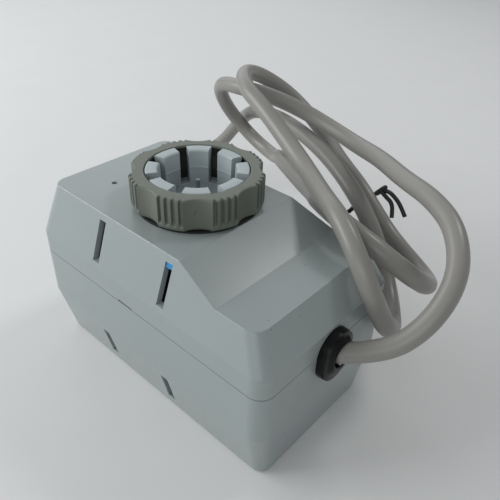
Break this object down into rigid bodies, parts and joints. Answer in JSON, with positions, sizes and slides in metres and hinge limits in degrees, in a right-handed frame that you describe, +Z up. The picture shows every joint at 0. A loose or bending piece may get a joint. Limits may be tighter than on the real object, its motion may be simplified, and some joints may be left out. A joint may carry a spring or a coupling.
{
  "type": "motorised valve actuator head",
  "caption": "Grey two-part valve actuator housing with a fingered collet and scalloped ring nut on top, a blue position pointer and a flex laid in loose loops.",
  "frame": {"origin": "centre of the collet axis on the bottom face of the housing", "axes": "+Z up the collet axis, +X along the long side towards the cable bushing, +Y to the side where the flex lies"},
  "size_m": [0.2043, 0.1458, 0.0907],
  "materials": {
    "housing_grey": "satin",
    "collet_grey": "satin",
    "nut_olive": "satin",
    "slip_dark": "matte",
    "screw_steel": "satin",
    "plate_steel": "satin",
    "bright_steel": "satin",
    "gear_white": "satin",
    "brass": "satin",
    "indicator_blue": "satin",
    "board_green": "satin",
    "black_plastic": "satin",
    "terminal_grey": "satin",
    "bushing_black": "matte",
    "cable_grey": "satin",
    "core_brown": "satin",
    "core_blue": "satin",
    "core_black": "satin",
    "tin": "satin"
  },
  "bodies": {
    "housing": {"bridge_plate": "plate_steel", "bridge_post_1": "plate_steel", "bridge_post_2": "plate_steel", "bridge_post_3": "plate_steel", "bridge_post_4": "plate_steel", "cable": "cable_grey", "cable_bushing": "bushing_black", "cable_entry": "cable_grey", "capacitor": "black_plastic", "chassis_lower_plate": "plate_steel", "chassis_pillar_1": "plate_steel", "chassis_pillar_2": "plate_steel", "chassis_pillar_3": "plate_steel", "chassis_pillar_4": "plate_steel", "chassis_upper_plate": "plate_steel", "clamp_jaw_lower": "terminal_grey", "clamp_jaw_upper": "terminal_grey", "clamp_screw_1": "screw_steel", "clamp_screw_2": "screw_steel", "collet": "collet_grey", "core_1": "core_brown", "core_2": "core_blue", "core_3": "core_black", "guide_rod_1": "bright_steel", "guide_rod_2": "bright_steel", "housing_screw_1": "screw_steel", "housing_screw_2": "screw_steel", "housing_screw_3": "screw_steel", "housing_screw_4": "screw_steel", "idler_pin": "bright_steel", "limit_switch_1": "black_plastic", "limit_switch_2": "black_plastic", "lower_shell": "housing_grey", "motor_can": "bright_steel", "motor_lead_1": "core_brown", "motor_lead_2": "core_blue", "pcb": "board_green", "pcb_standoff_1": "brass", "pcb_standoff_2": "brass", "relay": "black_plastic", "tail_core_1": "core_brown", "tail_core_2": "core_blue", "tail_core_3": "core_black", "tail_ferrule_1": "tin", "tail_ferrule_2": "tin", "tail_ferrule_3": "tin", "terminal_block": "terminal_grey", "thrust_washer": "bright_steel", "twist_tie": "black_plastic", "upper_shell": "housing_grey"},
    "drive_nut": {"drive_nut_gear": "gear_white"},
    "lifter": {"spindle": "bright_steel", "yoke": "gear_white", "position_indicator": "indicator_blue"},
    "idler": {"idler_gear": "gear_white"},
    "pinion": {"motor_pinion": "brass"},
    "slip_ring_body": {"slip_ring": "slip_dark"},
    "ring_nut_body": {"ring_nut": "nut_olive"}
  },
  "joints": [
    {"name": "drive_nut_turn", "type": "hinge", "parent": "housing", "child": "drive_nut", "pos_m": [0, 0, 0.045], "axis": [0, 0, 1], "range_deg": [-990, 0]},
    {"name": "spindle_lift", "type": "slide", "parent": "housing", "child": "lifter", "axis": [0, 0, 1], "range_m": [-0.00551, 0]},
    {"name": "idler_turn", "type": "hinge", "parent": "housing", "child": "idler", "pos_m": [0.01973, -0.00718, 0.045], "axis": [0, 0, 1], "range_deg": [0, 3961]},
    {"name": "pinion_turn", "type": "hinge", "parent": "housing", "child": "pinion", "pos_m": [0.03596, -0.00283, 0.042], "axis": [0, 0, 1], "range_deg": [-11881, 0]},
    {"name": "slip_ring_lift", "type": "slide", "parent": "housing", "child": "slip_ring_body", "axis": [0, 0, 1], "range_m": [0, 0.00301]},
    {"name": "ring_nut_turn", "type": "hinge", "parent": "slip_ring_body", "child": "ring_nut_body", "pos_m": [0, 0, 0.074], "axis": [0, 0, 1], "range_deg": [0, 720]}
  ],
  "couplings": [
    {"joint": "spindle_lift", "follows": "drive_nut_turn", "m_per_rad": 0.00031831},
    {"joint": "idler_turn", "follows": "drive_nut_turn", "ratio": -4},
    {"joint": "pinion_turn", "follows": "drive_nut_turn", "ratio": 12},
    {"joint": "slip_ring_lift", "follows": "ring_nut_turn", "m_per_rad": 0.00023873}
  ]
}
